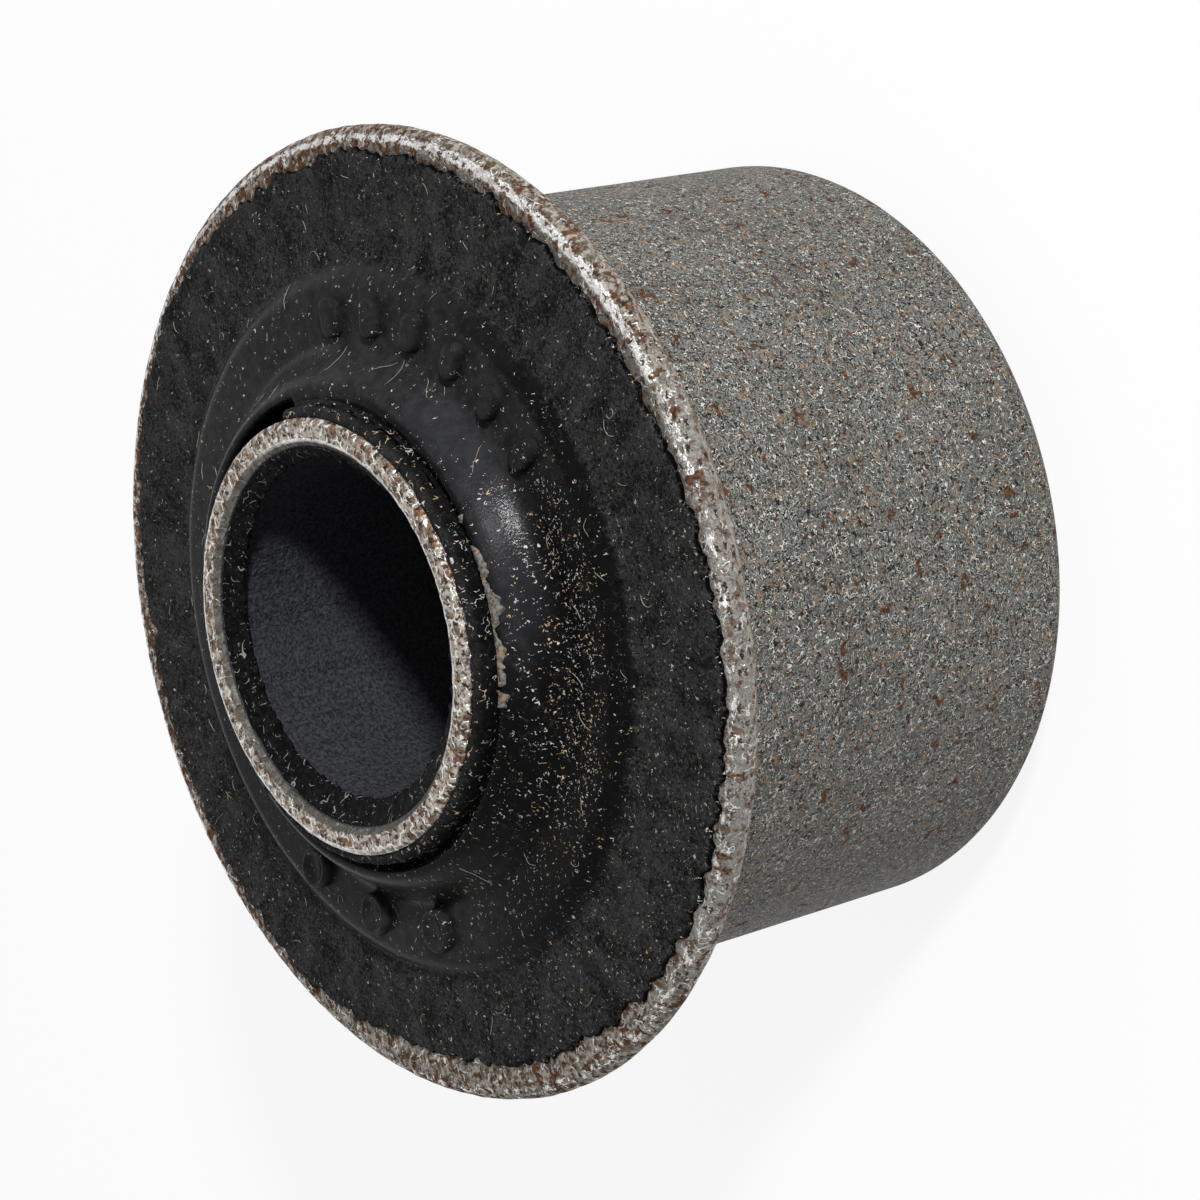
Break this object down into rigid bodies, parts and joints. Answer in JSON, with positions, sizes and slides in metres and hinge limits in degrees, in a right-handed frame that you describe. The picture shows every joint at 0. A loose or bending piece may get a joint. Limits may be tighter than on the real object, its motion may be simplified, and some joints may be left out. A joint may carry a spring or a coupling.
{
  "type": "flanged rubber bushing",
  "caption": "Rubber-to-metal pivot bushing: a flanged steel sleeve to press into a housing, a bonded rubber body and a steel tube for the pivot pin.",
  "frame": {"origin": "middle of the rear end of the inner sleeve, on the axis, where the part stands", "axes": "+Z along the axis, from the rear end towards the flange; X and Y are free, because the part is round"},
  "size_m": [0.0574, 0.0574, 0.04],
  "materials": {
    "sleeve_steel": "grey phosphate coat with fine grain, pits and many small rust specks",
    "moulded_rubber": "matt black, rough on the flange facing and smoother on the step and bead, dusty",
    "tube_steel": "bare pitted ends with rust spots, dark satin bore"
  },
  "bodies": {
    "root": {"outer_sleeve": "sleeve_steel", "rubber_body": "moulded_rubber", "inner_sleeve": "tube_steel"}
  },
  "joints": []
}
